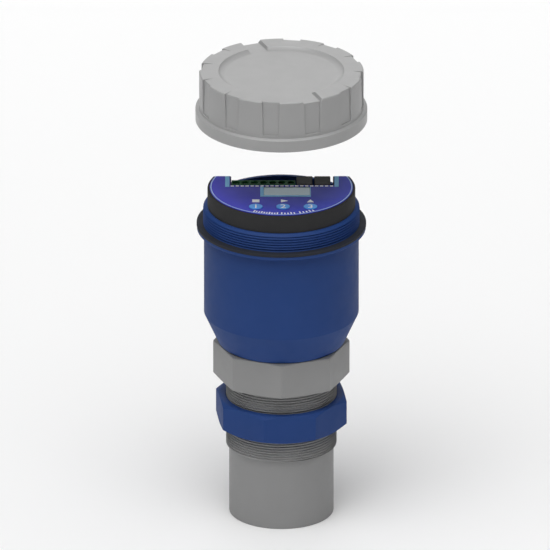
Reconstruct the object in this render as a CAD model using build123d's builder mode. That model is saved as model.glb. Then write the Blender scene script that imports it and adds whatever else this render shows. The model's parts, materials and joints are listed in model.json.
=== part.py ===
"""Ultrasonic water level sensor with a tube transducer, screw-in fitting, round housing and screw cap.

Heights run up the axis from the lower end of the sensor tube, in millimetres. The keys and the
display face -Y, the cable gland points to +Y. The cap is drawn lifted off, straight above its seat.
"""

import os
from math import cos, floor, pi, radians, sin, tan

from build123d import *

# Clearances between pieces
running_clearance = 0.06
free_clearance = 0.3
seat_clearance = 0.1

# Grey fitting: tube, thread and octagon
tube_radius = 28.3
tube_wall = 3.0
tube_length = 40.0
thread_radius = 30.0
thread_length = 40.0
octagon_rim = 4.25
octagon_height = 20.2
octagon_sides = 8
octagon_corner_radius = 1.2
octagon_bevel_angle = 12.0
bevel_overshoot = 1.0
spigot_wall = 5.3
spigot_length = 11.0

# Blue lock nut
nut_rim = 3.9
nut_thickness = 15.9
nut_gap_to_octagon = 11.4
nut_turn = -14.6
nut_bevel_angle = 28.0

# Transducer inside the tube
face_recess = 0.5
matching_thickness = 8.0
piezo_radius = 15.0
piezo_thickness = 4.0
foam_thickness = 20.0
potting_thickness = 6.0
lead_radius = 1.5
lead_sway = 7.0

# Blue housing
cone_height = 17.2
cone_foot_height = 0.8
cone_foot_inset = 0.5
barrel_radius = 42.0
barrel_height = 50.3
flange_overhang = 3.8
flange_thickness = 1.7
flange_chamfer = 0.3
housing_wall = 3.0
floor_thickness = 3.0
floor_opening_radius = 24.0
column_radius = 4.0
column_sink = 0.5
column_height = 35.3
column_angles = (-135.0, -45.0, 10.0, 170.0)

# Neck and its thread
neck_overhang = 0.5
neck_thread_length = 8.7
neck_thread_pitch = 1.5
neck_thread_depth = 0.8
neck_thread_crest = 0.24
neck_chamfer = 1.4

# Rubber ring under the cap
ring_overhang = 4.0
ring_thickness = 1.8
ring_edge_radius = 0.4

# Cap
cap_lift = 60.6
cap_wall = 1.8
cap_flange_step = 2.0
cap_flange_height = 6.7
cap_flange_bevel = 0.6
cap_inner_step = 1.5
cap_headroom = 2.6
cap_ceiling = 3.0
cap_recess = 2.2
cap_rim_width = 10.6
cap_rim_slope = 1.7
cap_edge_chamfer = 0.5
cap_groove_count = 12
cap_groove_width = 9.5
cap_groove_depth = 1.4
cap_groove_foot = 1.6
cap_groove_taper = 2.0
cap_groove_turn = 22.5
cap_dip_depth = 0.45
cap_dip_length = 6.6
cap_slot_width = 9.1

# Display module
module_ledge = 1.1
module_height = 9.9
module_spigot = 4.0
module_wall = 2.0
module_shoulder = 1.2
module_plate = 2.0
module_chord = 15.7
module_edge_radius = 0.4
overlay_thickness = 0.3
overlay_margin = 1.25
overlay_inset = 0.6
board_thickness = 1.6

# Terminal bay at the back of the display module
bay_front = 3.2
bay_shift = 0.4
bay_wall = 1.2
bay_gap_left = 0.2
bay_gap_right = 1.4
terminal_count = 7
terminal_pitch = 4.95
terminal_depth = 7.1
terminal_height = 8.4
terminal_inset = 1.6
terminal_chamfer = 0.5
terminal_wall = 1.0
well_depth = 4.2
entry_wall = 1.5
entry_height = 3.4
entry_rise = 2.5
entry_depth = 4.8
clamp_screw_radius = 1.6
clamp_screw_sink = 1.2
clamp_slot_width = 0.55
clamp_slot_depth = 0.8
clamp_slot_turn = 20.0
relay_width = 8.75
relay_depth = 12.0
relay_height = 10.0
relay_gap = 0.95
relay_distance = 0.5
relay_corner_radius = 0.45
relay_chamfer = 0.3

# Display glass and keys
window_width = 25.1
window_height = 11.9
window_shift = 3.05
window_below_bay = 2.5
lcd_side_margin = 1.7
lcd_front_margin = 2.0
lcd_back_margin = 0.4
key_count = 3
key_radius = 3.7
key_pitch = 14.8
key_shift = 0.95
key_edge_distance = 13.1
key_rise = 0.3
key_travel = 0.5
key_collar = 0.6
key_collar_height = 1.0
key_stem_radius = 1.5
switch_size = 6.0
switch_corner_radius = 0.5
switch_body_height = 3.5

# Main board and what stands on it
main_chord = 15.0
board_screw_radius = 1.4
screw_head_radius = 2.75
screw_head_height = 1.8
screw_depth = 8.0
spacer_across_flats = 5.0
spacer_x = 25.0
spacer_y = (-12.0, 5.0)
transformer_place = (-8.0, 0.0)
transformer_length = 16.0
transformer_height = 13.0
core_width = 7.2
coil_width = 9.9
coil_height = 9.8
coil_corner_radius = 1.9
capacitor_x = (12.0, 22.0)
capacitor_y = (3.0, -6.0)
capacitor_radius = 3.15
capacitor_height = 11.2
capacitor_crimp = 0.4
capacitor_crimp_height = 1.8
chip_x = (-12.0, 2.0)
chip_y = -16.0
chip_size = 9.0
chip_height = 1.6
memory_place = (14.0, -18.0)
memory_width = 6.0
memory_depth = 8.0
header_length = 20.0
header_width = 5.0
header_plug_margin = 0.8
plug_size = 6.0
plug_corner_radius = 0.5

# Cable gland at the back
gland_below_board = 13.0
gland_thread_radius = 10.0
gland_pad_radius = 13.5
gland_pad_rise = 3.0
gland_washer_thickness = 1.5
gland_hexagon = 24.0
gland_hexagon_thickness = 6.0
gland_front_radius = 9.2
gland_front_length = 8.5
gland_bore_radius = 5.5
gland_seal_radius = 7.6
gland_seal_length = 8.0
gland_seal_sink = 6.0
cable_radius = 4.0
gland_nut_length = 14.0
gland_dome_radius = 8.4

# Heights up the axis
octagon_base = tube_length + thread_length
octagon_top = octagon_base + octagon_height
cone_top = octagon_top + cone_height
barrel_top = cone_top + barrel_height
flange_base = barrel_top - flange_thickness
ring_top = barrel_top + ring_thickness
neck_thread_top = ring_top + neck_thread_length
neck_top = neck_thread_top + neck_chamfer
module_top = neck_top + module_height
panel_top = module_top + overlay_thickness
key_top = panel_top + key_rise
socket_top = octagon_top + spigot_length + seat_clearance
floor_top = socket_top + floor_thickness
main_board_base = floor_top + column_height
main_board_top = main_board_base + board_thickness
display_board_top = neck_top
display_board_base = display_board_top - board_thickness
plate_base = module_top - module_plate
gland_height = main_board_base - gland_below_board

# Radii from the axis
octagon_flat = thread_radius + octagon_rim
cone_foot_radius = octagon_flat + (barrel_radius - octagon_flat) * cone_foot_height / cone_height
nut_flat = thread_radius + nut_rim
fitting_bore = tube_radius - tube_wall
spigot_radius = fitting_bore + spigot_wall
housing_bore = barrel_radius - housing_wall
neck_radius = barrel_radius + neck_overhang
flange_radius = barrel_radius + flange_overhang
ring_seat_radius = neck_radius - neck_thread_depth
cap_thread_bore = neck_radius + free_clearance
cap_radius = cap_thread_bore + cap_wall
cap_flange_radius = cap_radius + cap_flange_step
cap_inner_radius = cap_thread_bore - cap_inner_step
module_radius = housing_bore + module_ledge
module_spigot_radius = housing_bore - free_clearance
module_bore = module_spigot_radius - module_wall
module_cavity = module_radius - module_wall
display_board_radius = module_bore - free_clearance
main_board_radius = housing_bore - free_clearance

# Places across the display module
chord_inside = module_chord - module_wall
bay_width = (
    bay_gap_left + terminal_count * terminal_pitch + 2 * (relay_width + relay_gap) - relay_gap
    + relay_distance + bay_gap_right
)
bay_left = bay_shift - bay_width / 2
terminal_left = bay_left + bay_gap_left
terminal_length = terminal_count * terminal_pitch
relay_left_x = terminal_left + terminal_length + relay_distance
window_centre_y = bay_front - window_below_bay - window_height / 2
key_y = key_edge_distance - module_radius


def bevelled_outline(flat_radius, base, top, angle):
    """Turned outline of a nut: flat faces, then cones that take off the corners above and below."""
    reach = flat_radius / cos(pi / octagon_sides) - flat_radius + bevel_overshoot
    drop = reach * tan(radians(angle))
    return [
        (0, base),
        (flat_radius, base),
        (flat_radius + reach, base + drop),
        (flat_radius + reach, top - drop),
        (flat_radius, top),
        (0, top),
    ]


def polar_points(radius, angles):
    """Points on a circle at the given angles from +X."""
    return [(radius * cos(radians(a)), radius * sin(radians(a))) for a in angles]


def finish(builder, name):
    """Name a piece and write it to its own file."""
    builder.part.label = name
    export_step(builder.part, f"parts/{name}.step")


os.makedirs("parts", exist_ok=True)

# Grey fitting: octagon with turned bevels, thread blank, tube, spigot and one bore through them all
with BuildPart() as process_fitting:
    with BuildSketch(Plane.XY.offset(octagon_base)):
        RegularPolygon(octagon_flat, octagon_sides, major_radius=False)
    extrude(amount=octagon_height)
    fillet(process_fitting.edges().filter_by(Axis.Z), octagon_corner_radius)
    with BuildSketch(Plane.XZ):
        Polygon(*bevelled_outline(octagon_flat, octagon_base, octagon_top, octagon_bevel_angle), align=None)
    revolve(axis=Axis.Z, mode=Mode.INTERSECT)
    with BuildSketch(Plane.XY.offset(tube_length)):
        Circle(thread_radius)
    extrude(amount=thread_length)
    with BuildSketch(Plane.XY):
        Circle(tube_radius)
    extrude(amount=tube_length)
    with BuildSketch(Plane.XY.offset(octagon_top)):
        Circle(spigot_radius)
    extrude(amount=spigot_length)
    with BuildSketch(Plane.XY):
        Circle(fitting_bore)
    extrude(amount=octagon_top + spigot_length, mode=Mode.SUBTRACT)
finish(process_fitting, "process_fitting")

# Lock nut on the thread
nut_top = octagon_base - nut_gap_to_octagon
nut_base = nut_top - nut_thickness
with BuildPart() as lock_nut:
    with BuildSketch(Plane.XY.offset(nut_base)):
        RegularPolygon(nut_flat, octagon_sides, major_radius=False, rotation=nut_turn)
    extrude(amount=nut_thickness)
    with BuildSketch(Plane.XZ):
        Polygon(*bevelled_outline(nut_flat, nut_base, nut_top, nut_bevel_angle), align=None)
    revolve(axis=Axis.Z, mode=Mode.INTERSECT)
    with BuildSketch(Plane.XY.offset(nut_base)):
        Circle(thread_radius + running_clearance)
    extrude(amount=nut_thickness, mode=Mode.SUBTRACT)
finish(lock_nut, "lock_nut")

# Transducer: matching layer, piezo disc in its damping ring, foam and cast plug
matching_top = face_recess + matching_thickness
piezo_top = matching_top + piezo_thickness
foam_top = piezo_top + foam_thickness
potting_top = foam_top + potting_thickness
transducer_radius = fitting_bore - seat_clearance
lead_hole = lead_radius + seat_clearance
with BuildPart() as matching_layer:
    with BuildSketch(Plane.XY.offset(face_recess)):
        Circle(transducer_radius)
    extrude(amount=matching_thickness)
finish(matching_layer, "matching_layer")

with BuildPart() as piezo_disc:
    with BuildSketch(Plane.XY.offset(matching_top)):
        Circle(piezo_radius)
    extrude(amount=piezo_thickness)
finish(piezo_disc, "piezo_disc")

with BuildPart() as damping_ring:
    with BuildSketch(Plane.XY.offset(matching_top)):
        Circle(transducer_radius)
        Circle(piezo_radius + seat_clearance, mode=Mode.SUBTRACT)
    extrude(amount=piezo_thickness)
finish(damping_ring, "damping_ring")

with BuildPart() as backing_foam:
    with BuildSketch(Plane.XY.offset(piezo_top)):
        Circle(transducer_radius)
        Circle(lead_hole, mode=Mode.SUBTRACT)
    extrude(amount=foam_thickness)
finish(backing_foam, "backing_foam")

with BuildPart() as potting_plug:
    with BuildSketch(Plane.XY.offset(foam_top)):
        Circle(transducer_radius)
        Circle(lead_hole, mode=Mode.SUBTRACT)
    extrude(amount=potting_thickness)
finish(potting_plug, "potting_plug")

# Lead from the piezo disc up to the main board, with a little slack, and the plug that ends it
plug_base = main_board_base - plug_size
slack_base = potting_top + 4 * lead_radius
slack_span = (plug_base - slack_base) / 3
with BuildPart() as transducer_lead:
    with BuildLine() as lead_route:
        FilletPolyline(
            (0, 0, piezo_top),
            (0, 0, slack_base),
            (0, -lead_sway, slack_base + slack_span),
            (0, 0, slack_base + 2 * slack_span),
            (0, 0, plug_base),
            radius=slack_span,
        )
    with BuildSketch(Plane.XY.offset(piezo_top)):
        Circle(lead_radius)
    sweep()
finish(transducer_lead, "transducer_lead")

with BuildPart() as lead_plug:
    with BuildSketch(Plane.XY.offset(plug_base)):
        Rectangle(plug_size, plug_size)
    extrude(amount=plug_size)
    fillet(lead_plug.edges().filter_by(Axis.Z), plug_corner_radius)
finish(lead_plug, "lead_plug")

# Blue housing: cone, barrel, flange and threaded neck round one cavity, with a socket for the fitting
groove_start = neck_thread_top - neck_thread_depth / 2
groove_count = floor((neck_thread_length - neck_thread_depth) / neck_thread_pitch) + 1
groove_half = (neck_thread_pitch - neck_thread_crest) / 2
groove_overshoot = neck_thread_depth / 4
groove_mouth = groove_half * (neck_thread_depth + groove_overshoot) / neck_thread_depth
gland_plane = Plane(origin=(0, 0, gland_height), x_dir=(1, 0, 0), z_dir=(0, 1, 0))
gland_face = barrel_radius + gland_pad_rise
column_circle = housing_bore + column_sink - column_radius
column_points = polar_points(column_circle, column_angles)
with BuildPart() as housing:
    with BuildSketch(Plane.XZ):
        Polygon(
            (0, octagon_top),
            (octagon_flat - cone_foot_inset, octagon_top),
            (cone_foot_radius, octagon_top + cone_foot_height),
            (barrel_radius, cone_top),
            (barrel_radius, flange_base),
            (flange_radius - flange_chamfer, flange_base),
            (flange_radius, flange_base + flange_chamfer),
            (flange_radius, barrel_top),
            (ring_seat_radius, barrel_top),
            (ring_seat_radius, ring_top),
            (neck_radius, ring_top),
            (neck_radius, neck_thread_top),
            (neck_radius - neck_chamfer, neck_top),
            (0, neck_top),
            align=None,
        )
    revolve(axis=Axis.Z)
    with BuildSketch(gland_plane):
        Circle(gland_pad_radius)
    extrude(amount=gland_face)
    with BuildSketch(Plane.XZ):
        Polygon(
            (0, floor_top),
            (housing_bore - housing_wall, floor_top),
            (housing_bore, floor_top + housing_wall),
            (housing_bore, neck_top),
            (0, neck_top),
            align=None,
        )
    revolve(axis=Axis.Z, mode=Mode.SUBTRACT)
    with BuildSketch(Plane.XY.offset(octagon_top)):
        Circle(spigot_radius + seat_clearance)
    extrude(amount=socket_top - octagon_top, mode=Mode.SUBTRACT)
    with BuildSketch(Plane.XY.offset(socket_top)):
        Circle(floor_opening_radius)
    extrude(amount=floor_thickness, mode=Mode.SUBTRACT)
    with BuildSketch(Plane.XY.offset(floor_top)):
        with Locations(*column_points):
            Circle(column_radius)
    extrude(amount=column_height)
    with BuildSketch(Plane.XY.offset(main_board_base)):
        with Locations(*column_points):
            Circle(board_screw_radius + seat_clearance)
    extrude(amount=-(screw_depth + seat_clearance), mode=Mode.SUBTRACT)
    with BuildSketch(gland_plane):
        Circle(gland_thread_radius + seat_clearance)
    extrude(amount=gland_face, mode=Mode.SUBTRACT)
    with BuildSketch(Plane.XZ):
        with Locations(*[(neck_radius, groove_start - i * neck_thread_pitch) for i in range(groove_count)]):
            Polygon(
                (groove_overshoot, groove_mouth),
                (-neck_thread_depth, 0),
                (groove_overshoot, -groove_mouth),
                align=None,
            )
    revolve(axis=Axis.Z, mode=Mode.SUBTRACT)
finish(housing, "housing")

# Rubber ring on the housing's flange
with BuildPart() as sealing_ring:
    with BuildSketch(Plane.XZ) as ring_section:
        Polygon(
            (ring_seat_radius + seat_clearance, barrel_top),
            (barrel_radius + ring_overhang, barrel_top),
            (barrel_radius + ring_overhang, ring_top),
            (ring_seat_radius + seat_clearance, ring_top),
            align=None,
        )
        fillet(ring_section.vertices().sort_by(Axis.X)[-2:], ring_edge_radius)
    revolve(axis=Axis.Z)
finish(sealing_ring, "sealing_ring")

# Cap, lifted off: flange, grip grooves with dips in the rim, recessed top with two slots, stepped bore
cap_base = ring_top + cap_lift
cap_ceiling_base = cap_base + (key_top - ring_top) + cap_headroom
cap_disc_top = cap_ceiling_base + cap_ceiling
cap_top = cap_disc_top + cap_recess
cap_thread_end = cap_base + (neck_top - ring_top) + free_clearance
cap_flange_top = cap_base + cap_flange_height
groove_foot = cap_flange_top + cap_flange_bevel + cap_groove_foot
rim_radius = cap_radius - cap_rim_width
cap_top_down = Plane(origin=(0, 0, cap_top), x_dir=(1, 0, 0), z_dir=(0, 0, -1))
with BuildPart() as groove_dip:
    with BuildSketch(Plane.XZ):
        Polygon(
            (cap_radius - cap_dip_length, cap_top),
            (cap_radius + cap_dip_length, cap_top - 2 * cap_dip_depth),
            (cap_radius + cap_dip_length, cap_top + cap_dip_depth),
            (cap_radius - cap_dip_length, cap_top + cap_dip_depth),
            align=None,
        )
    extrude(amount=cap_groove_width / 2, both=True)
with BuildPart() as cap:
    with BuildSketch(Plane.XZ):
        Polygon(
            (cap_thread_bore, cap_base),
            (cap_flange_radius, cap_base),
            (cap_flange_radius, cap_flange_top),
            (cap_radius, cap_flange_top + cap_flange_bevel),
            (cap_radius, cap_top - cap_edge_chamfer),
            (cap_radius - cap_edge_chamfer, cap_top),
            (rim_radius, cap_top),
            (rim_radius - cap_rim_slope, cap_disc_top),
            (0, cap_disc_top),
            (0, cap_ceiling_base),
            (cap_inner_radius, cap_ceiling_base),
            (cap_inner_radius, cap_thread_end),
            (cap_thread_bore, cap_thread_end),
            align=None,
        )
    revolve(axis=Axis.Z)
    with BuildSketch(cap_top_down):
        with PolarLocations(
            cap_radius + cap_groove_depth, cap_groove_count, start_angle=90 - cap_groove_turn
        ):
            Rectangle(4 * cap_groove_depth, cap_groove_width)
    extrude(amount=cap_top - groove_foot, taper=cap_groove_taper, mode=Mode.SUBTRACT)
    with PolarLocations(0, cap_groove_count, start_angle=cap_groove_turn - 90):
        add(groove_dip.part, mode=Mode.SUBTRACT)
    with BuildSketch(Plane.XY.offset(cap_disc_top)):
        Rectangle(3 * cap_radius, cap_slot_width, rotation=cap_groove_turn - 90)
    extrude(amount=cap_recess, mode=Mode.SUBTRACT)
finish(cap, "cap")

# Case of the display module: a round box cut off straight at the back, with the terminal bay in it
lcd_width = window_width + 2 * lcd_side_margin
lcd_height = window_height + lcd_front_margin + lcd_back_margin
key_places = [(key_shift + (i - (key_count - 1) / 2) * key_pitch, key_y) for i in range(key_count)]
window_place = (window_shift, window_centre_y)
key_hole_radius = key_radius + free_clearance / 2


def disc_with_chord(radius, chord):
    """Disc of the given radius, cut off straight at the given distance behind its centre."""
    Circle(radius)
    with Locations((0, chord)):
        Rectangle(2 * radius, 2 * radius, align=(Align.CENTER, Align.MIN), mode=Mode.SUBTRACT)


with BuildPart() as module_case:
    with BuildSketch(Plane.XY.offset(neck_top)):
        disc_with_chord(module_radius, module_chord)
    extrude(amount=module_height)
    fillet(module_case.edges().group_by(Axis.Z)[-1], module_edge_radius)
    with BuildSketch(Plane.XY.offset(neck_top - module_spigot)):
        disc_with_chord(module_spigot_radius, module_chord)
    extrude(amount=module_spigot)
    with BuildSketch(Plane.XY.offset(neck_top - module_spigot)):
        disc_with_chord(module_bore, chord_inside)
    extrude(amount=module_spigot + module_shoulder, mode=Mode.SUBTRACT)
    with BuildSketch(Plane.XY.offset(neck_top + module_shoulder)):
        disc_with_chord(module_cavity, chord_inside)
    extrude(amount=plate_base - neck_top - module_shoulder, mode=Mode.SUBTRACT)
    with BuildSketch(Plane.XY.offset(neck_top)):
        with Locations((bay_shift, bay_front - bay_wall)):
            Rectangle(
                bay_width + 2 * bay_wall,
                chord_inside - bay_front + 2 * bay_wall,
                align=(Align.CENTER, Align.MIN),
            )
    extrude(amount=plate_base - neck_top)
    with BuildSketch(Plane.XY.offset(neck_top)):
        with Locations((bay_shift, bay_front)):
            Rectangle(bay_width, module_chord, align=(Align.CENTER, Align.MIN))
    extrude(amount=module_height, mode=Mode.SUBTRACT)
    with BuildSketch(Plane.XY.offset(plate_base)):
        with Locations(window_place):
            Rectangle(window_width, window_height)
        with Locations(*key_places):
            Circle(key_hole_radius)
    extrude(amount=module_plate, mode=Mode.SUBTRACT)
finish(module_case, "module_case")

# Printed film on the case, open over the bay, the window and the keys
with BuildPart() as panel_overlay:
    with BuildSketch(Plane.XY.offset(module_top)):
        disc_with_chord(module_radius - overlay_margin, module_chord - overlay_inset)
        with Locations((bay_shift, bay_front - overlay_inset)):
            Rectangle(
                bay_width + 2 * overlay_inset, module_chord, align=(Align.CENTER, Align.MIN), mode=Mode.SUBTRACT
            )
        with Locations(window_place):
            Rectangle(window_width, window_height, mode=Mode.SUBTRACT)
        with Locations(*key_places):
            Circle(key_hole_radius, mode=Mode.SUBTRACT)
    extrude(amount=overlay_thickness)
finish(panel_overlay, "panel_overlay")

# Display board across the foot of the case
with BuildPart() as display_board:
    with BuildSketch(Plane.XY.offset(display_board_base)):
        disc_with_chord(display_board_radius, chord_inside - free_clearance)
    extrude(amount=board_thickness)
finish(display_board, "display_board")

# Display: frame on the board, glass in the window
lcd_frame_top = plate_base - seat_clearance
lcd_centre = (window_shift, window_centre_y + (lcd_back_margin - lcd_front_margin) / 2)
with BuildPart() as lcd_frame:
    with BuildSketch(Plane.XY.offset(display_board_top)):
        with Locations(lcd_centre):
            Rectangle(lcd_width, lcd_height)
    extrude(amount=lcd_frame_top - display_board_top)
finish(lcd_frame, "lcd_frame")

with BuildPart() as lcd_glass:
    with BuildSketch(Plane.XY.offset(lcd_frame_top)):
        with Locations(window_place):
            Rectangle(window_width - 2 * seat_clearance, window_height - 2 * seat_clearance)
    extrude(amount=module_top - lcd_frame_top)
finish(lcd_glass, "lcd_glass")

# Push switches on the board, one under each key
collar_top = plate_base - free_clearance
collar_base = collar_top - key_collar_height
stem_base = collar_base - free_clearance
plunger_top = stem_base - key_travel - seat_clearance
with BuildPart() as key_switches:
    with BuildSketch(Plane.XY.offset(display_board_top)):
        with Locations(*key_places):
            RectangleRounded(switch_size, switch_size, switch_corner_radius)
    extrude(amount=switch_body_height)
    with BuildSketch(Plane.XY.offset(display_board_top + switch_body_height)):
        with Locations(*key_places):
            Circle(key_stem_radius)
    extrude(amount=plunger_top - display_board_top - switch_body_height)
finish(key_switches, "key_switches")

# Three round keys: cap through the film, collar under the plate, stem over the switch
for number, (key_x, key_line) in enumerate(key_places, start=1):
    with BuildPart() as key:
        with BuildSketch(Plane.XY.offset(collar_base)):
            with Locations((key_x, key_line)):
                Circle(key_radius + key_collar)
        extrude(amount=key_collar_height)
        with BuildSketch(Plane.XY.offset(collar_top)):
            with Locations((key_x, key_line)):
                Circle(key_radius)
        extrude(amount=key_top - collar_top)
        fillet(key.edges().group_by(Axis.Z)[-1], key_rise / 2)
        with BuildSketch(Plane.XY.offset(stem_base)):
            with Locations((key_x, key_line)):
                Circle(key_stem_radius)
        extrude(amount=collar_base - stem_base)
    finish(key, f"key_{number}")

# Terminal block: one body with a screw well and a wire entry for each way
terminal_back = module_chord - terminal_inset
terminal_middle = terminal_back - terminal_depth / 2
terminal_top = display_board_top + terminal_height
terminal_places = [
    (terminal_left + (i + 0.5) * terminal_pitch, terminal_middle) for i in range(terminal_count)
]
entry_places = [(x, display_board_top + entry_rise) for x, _ in terminal_places]
well_radius = (terminal_pitch - terminal_wall) / 2
with BuildPart() as terminal_block:
    with BuildSketch(Plane.XY.offset(display_board_top)):
        with Locations((terminal_left + terminal_length / 2, terminal_middle)):
            Rectangle(terminal_length, terminal_depth)
    extrude(amount=terminal_height)
    chamfer(terminal_block.edges().group_by(Axis.Z)[-1].filter_by(Axis.X), terminal_chamfer)
    with BuildSketch(Plane.XY.offset(terminal_top)):
        with Locations(*terminal_places):
            Circle(well_radius)
    extrude(amount=-well_depth, mode=Mode.SUBTRACT)
    entry_plane = Plane(origin=(0, terminal_back, 0), x_dir=(1, 0, 0), z_dir=(0, -1, 0))
    with BuildSketch(entry_plane):
        with Locations(*entry_places):
            Rectangle(terminal_pitch - entry_wall, entry_height)
    extrude(amount=entry_depth, mode=Mode.SUBTRACT)
finish(terminal_block, "terminal_block")

# Slotted clamp screws in the wells
with BuildPart() as terminal_screws:
    with BuildSketch(Plane.XY.offset(terminal_top - well_depth)):
        with Locations(*terminal_places):
            Circle(clamp_screw_radius)
    extrude(amount=well_depth - clamp_screw_sink)
    with BuildSketch(Plane.XY.offset(terminal_top - clamp_screw_sink)):
        with Locations(*terminal_places):
            Rectangle(2 * well_radius, clamp_slot_width, rotation=clamp_slot_turn)
    extrude(amount=-clamp_slot_depth, mode=Mode.SUBTRACT)
finish(terminal_screws, "terminal_screws")

# Two relays beside the terminals
for name, offset_x in (("relay_left", 0.0), ("relay_right", relay_width + relay_gap)):
    with BuildPart() as relay:
        with BuildSketch(Plane.XY.offset(display_board_top)):
            with Locations((relay_left_x + offset_x, module_chord)):
                Rectangle(relay_width, relay_depth, align=(Align.MIN, Align.MAX))
        extrude(amount=relay_height)
        fillet(relay.edges().filter_by(Axis.Z), relay_corner_radius)
        chamfer(relay.edges().group_by(Axis.Z)[-1], relay_chamfer)
    finish(relay, name)

# Main board on the housing's columns, cut off straight at the back to let the wires past
with BuildPart() as main_board:
    with BuildSketch(Plane.XY.offset(main_board_base)):
        disc_with_chord(main_board_radius, main_chord)
        with Locations(*column_points):
            Circle(board_screw_radius + 2 * seat_clearance, mode=Mode.SUBTRACT)
    extrude(amount=board_thickness)
finish(main_board, "main_board")

with BuildPart() as board_screws:
    with BuildSketch(Plane.XY.offset(main_board_top - screw_depth)):
        with Locations(*column_points):
            Circle(board_screw_radius)
    extrude(amount=screw_depth)
    with BuildSketch(Plane.XY.offset(main_board_top)):
        with Locations(*column_points):
            Circle(screw_head_radius)
    extrude(amount=screw_head_height)
finish(board_screws, "board_screws")

# Brass spacers between the two boards
spacer_places = [(x, y) for x in (-spacer_x, spacer_x) for y in spacer_y]
with BuildPart() as board_spacers:
    with BuildSketch(Plane.XY.offset(main_board_top)):
        with Locations(*spacer_places):
            RegularPolygon(spacer_across_flats / 2, 6, major_radius=False)
    extrude(amount=display_board_base - main_board_top)
finish(board_spacers, "board_spacers")

# Header between the boards: a wide socket below, a narrower plug above
header_y = -(main_board_radius - 2 * header_width)
socket_height = (display_board_base - main_board_top) / 2
with BuildPart() as module_header:
    with BuildSketch(Plane.XY.offset(main_board_top)):
        with Locations((0, header_y)):
            Rectangle(header_length, header_width)
    extrude(amount=socket_height)
    with BuildSketch(Plane.XY.offset(main_board_top + socket_height)):
        with Locations((0, header_y)):
            Rectangle(header_length - 2 * header_plug_margin, header_width - 2 * header_plug_margin)
    extrude(amount=socket_height)
finish(module_header, "module_header")

# Parts on the main board
with BuildPart() as pulse_transformer:
    with BuildSketch(Plane.XY.offset(main_board_top)):
        with Locations(transformer_place):
            Rectangle(transformer_length, core_width)
    extrude(amount=transformer_height)
    with BuildSketch(Plane.XY.offset(main_board_top)):
        with Locations(transformer_place):
            RectangleRounded(coil_width, transformer_length, coil_corner_radius)
    extrude(amount=coil_height)
finish(pulse_transformer, "pulse_transformer")

capacitor_places = list(zip(capacitor_x, capacitor_y))
with BuildPart() as capacitors:
    with BuildSketch(Plane.XY.offset(main_board_top)):
        with Locations(*capacitor_places):
            Circle(capacitor_radius)
    extrude(amount=capacitor_height)
    fillet(capacitors.edges().group_by(Axis.Z)[-1], capacitor_crimp)
    with BuildSketch(Plane.XY.offset(main_board_top + capacitor_crimp_height)):
        with Locations(*capacitor_places):
            Circle(capacitor_radius)
            Circle(capacitor_radius - capacitor_crimp, mode=Mode.SUBTRACT)
    extrude(amount=2 * capacitor_crimp, mode=Mode.SUBTRACT)
finish(capacitors, "capacitors")

with BuildPart() as driver_chips:
    with BuildSketch(Plane.XY.offset(main_board_top)):
        with Locations(*[(x, chip_y) for x in chip_x]):
            Rectangle(chip_size, chip_size)
        with Locations(memory_place):
            Rectangle(memory_width, memory_depth)
    extrude(amount=chip_height)
finish(driver_chips, "driver_chips")

# Cable gland: washer on the housing's pad, hexagon body, rubber seal and domed nut
washer_face = gland_face + gland_washer_thickness
hexagon_face = washer_face + gland_hexagon_thickness
front_end = hexagon_face + gland_front_length
seal_start = front_end - gland_seal_sink
seal_end = seal_start + gland_seal_length
nut_end = hexagon_face + free_clearance + gland_nut_length
gland_axis = Axis((0, 0, gland_height), (0, 1, 0))
gland_section = Plane(origin=(0, 0, gland_height), x_dir=(1, 0, 0), z_dir=(0, 0, 1))
with BuildPart() as gland_washer:
    with BuildSketch(gland_plane.offset(gland_face)):
        Circle(gland_pad_radius - 2 * seat_clearance)
        Circle(gland_thread_radius + seat_clearance, mode=Mode.SUBTRACT)
    extrude(amount=gland_washer_thickness)
finish(gland_washer, "gland_washer")

with BuildPart() as gland_body:
    with BuildSketch(gland_plane.offset(housing_bore - 2 * seat_clearance)):
        Circle(gland_thread_radius)
    extrude(amount=washer_face - housing_bore + 2 * seat_clearance)
    with BuildSketch(gland_plane.offset(washer_face)):
        RegularPolygon(gland_hexagon / 2, 6, major_radius=False)
    extrude(amount=gland_hexagon_thickness)
    with BuildSketch(gland_plane.offset(hexagon_face)):
        Circle(gland_front_radius)
    extrude(amount=gland_front_length)
    with BuildSketch(gland_plane.offset(housing_bore / 2)):
        Circle(gland_bore_radius)
    extrude(amount=front_end, mode=Mode.SUBTRACT)
    with BuildSketch(gland_plane.offset(seal_start)):
        Circle(gland_seal_radius + seat_clearance)
    extrude(amount=gland_seal_sink, mode=Mode.SUBTRACT)
finish(gland_body, "gland_body")

with BuildPart() as gland_seal:
    with BuildSketch(gland_plane.offset(seal_start)):
        Circle(gland_seal_radius)
        Circle(cable_radius, mode=Mode.SUBTRACT)
    extrude(amount=gland_seal_length)
finish(gland_seal, "gland_seal")

with BuildPart() as gland_nut:
    with BuildSketch(gland_plane.offset(nut_end - gland_nut_length)):
        RegularPolygon(gland_hexagon / 2, 6, major_radius=False)
    extrude(amount=gland_nut_length)
    with BuildSketch(gland_section):
        Polygon(
            (0, 0),
            (gland_hexagon, 0),
            (gland_hexagon, nut_end - gland_nut_length / 2),
            (gland_hexagon / 2, nut_end - gland_nut_length / 2),
            (gland_dome_radius, nut_end),
            (0, nut_end),
            align=None,
        )
    revolve(axis=gland_axis, mode=Mode.INTERSECT)
    with BuildSketch(gland_section):
        Polygon(
            (0, 0),
            (gland_front_radius + seat_clearance, 0),
            (gland_front_radius + seat_clearance, seal_end + seat_clearance),
            (cable_radius + free_clearance, seal_end + seat_clearance),
            (cable_radius + free_clearance, nut_end - 2 * seat_clearance),
            (gland_bore_radius, nut_end),
            (0, nut_end),
            align=None,
        )
    revolve(axis=gland_axis, mode=Mode.SUBTRACT)
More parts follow.
